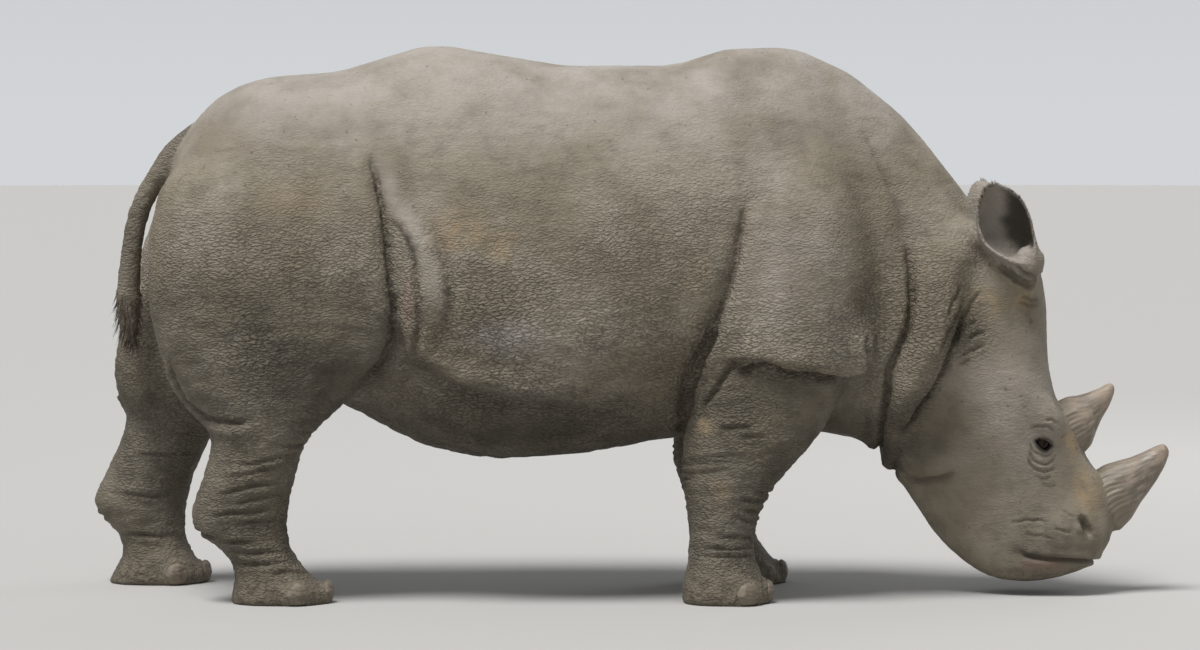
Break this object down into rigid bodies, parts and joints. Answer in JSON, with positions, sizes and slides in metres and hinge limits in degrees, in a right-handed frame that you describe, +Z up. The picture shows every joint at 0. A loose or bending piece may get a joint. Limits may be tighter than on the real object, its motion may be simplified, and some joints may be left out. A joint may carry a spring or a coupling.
{
  "type": "white rhinoceros",
  "caption": "Life-size still model of a grazing white rhinoceros cow with lowered head, wide mouth, nasal horns, folded grey skin and a hanging tail, standing free on its feet.",
  "frame": {"origin": "on the floor under the middle of the animal's bounding box", "axes": "+X forward, towards the head; +Y to the animal's left; +Z up"},
  "size_m": [3.2828, 0.899, 1.6516],
  "materials": {
    "skin": "matt, folded and wrinkled, dusty",
    "horn": "fibrous horn, satin to matt",
    "nail": "worn matt horn",
    "eye": "moist and glossy"
  },
  "bodies": {
    "root": {"trunk": "skin", "neck": "skin", "head": "skin", "fore_leg_left": "skin", "fore_leg_right": "skin", "hind_leg_left": "skin", "hind_leg_right": "skin", "tail": "skin", "ear_left": "skin", "ear_right": "skin", "horn_front": "horn", "horn_rear": "horn", "eye_left": "eye", "eye_right": "eye", "nail_fore_left_1": "nail", "nail_fore_left_2": "nail", "nail_fore_left_3": "nail", "nail_fore_right_1": "nail", "nail_fore_right_2": "nail", "nail_fore_right_3": "nail", "nail_hind_left_1": "nail", "nail_hind_left_2": "nail", "nail_hind_left_3": "nail", "nail_hind_right_1": "nail", "nail_hind_right_2": "nail", "nail_hind_right_3": "nail"}
  },
  "joints": []
}
